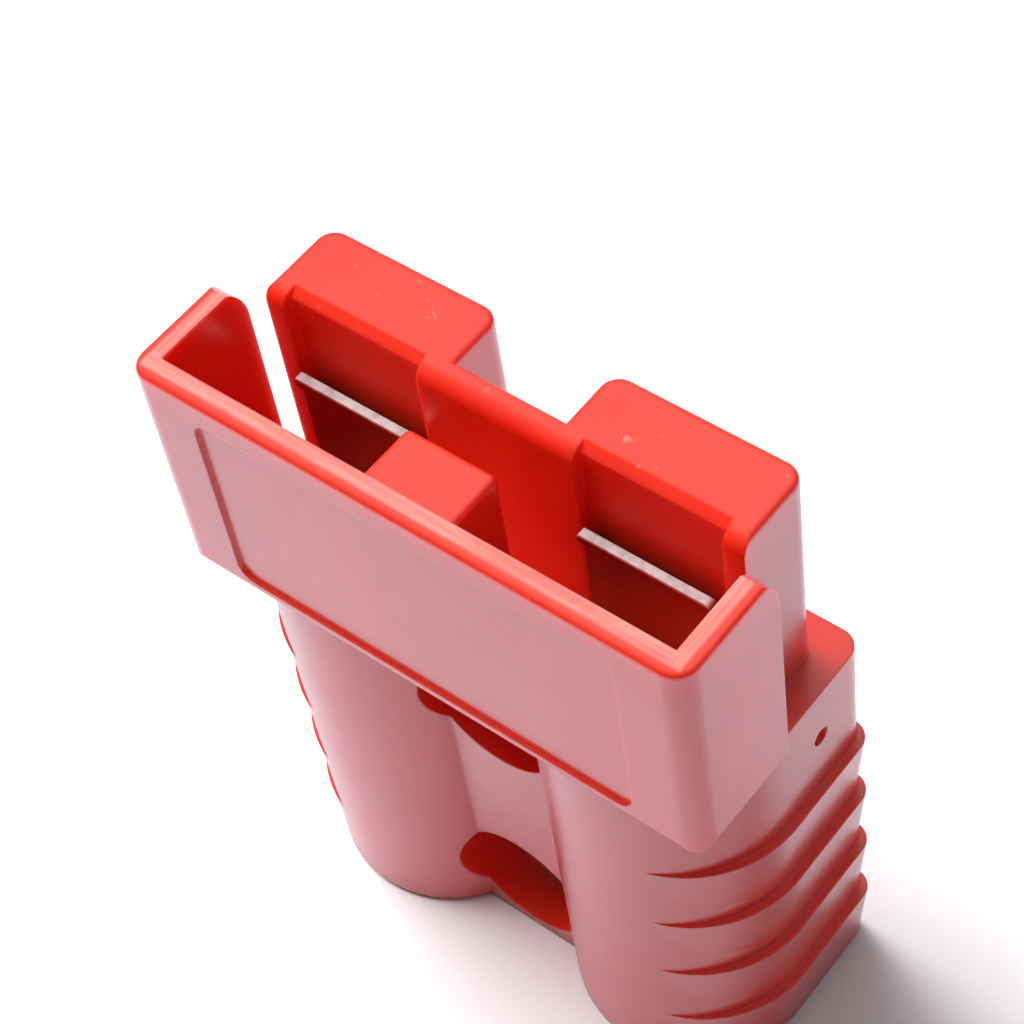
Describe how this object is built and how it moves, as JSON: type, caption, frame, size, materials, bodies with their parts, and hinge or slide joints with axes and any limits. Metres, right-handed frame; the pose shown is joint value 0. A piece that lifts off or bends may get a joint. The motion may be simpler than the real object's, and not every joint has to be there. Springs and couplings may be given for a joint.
{
  "type": "genderless power connector",
  "caption": "Two-pole genderless power connector housing with an open keyed hood, hollow contact tongues, ribbed grip sides and through mounting holes.",
  "frame": {"origin": "centre of the wire-entry end, at the bottom of the bounding box", "axes": "+Z towards the mating end, +X across the two poles, +Y out of the flat mounting face; the hood faces -Y"},
  "size_m": [0.0366, 0.016, 0.0478],
  "materials": {
    "housing_plastic": "moulded red polycarbonate, glossy with faint flow and handling marks",
    "contact_silver": "dull silver plating over copper",
    "spring_steel": "rolled stainless spring strip"
  },
  "bodies": {
    "root": {"housing": "housing_plastic", "contact_left": "contact_silver", "contact_right": "contact_silver", "spring_left": "spring_steel", "spring_right": "spring_steel"}
  },
  "joints": []
}
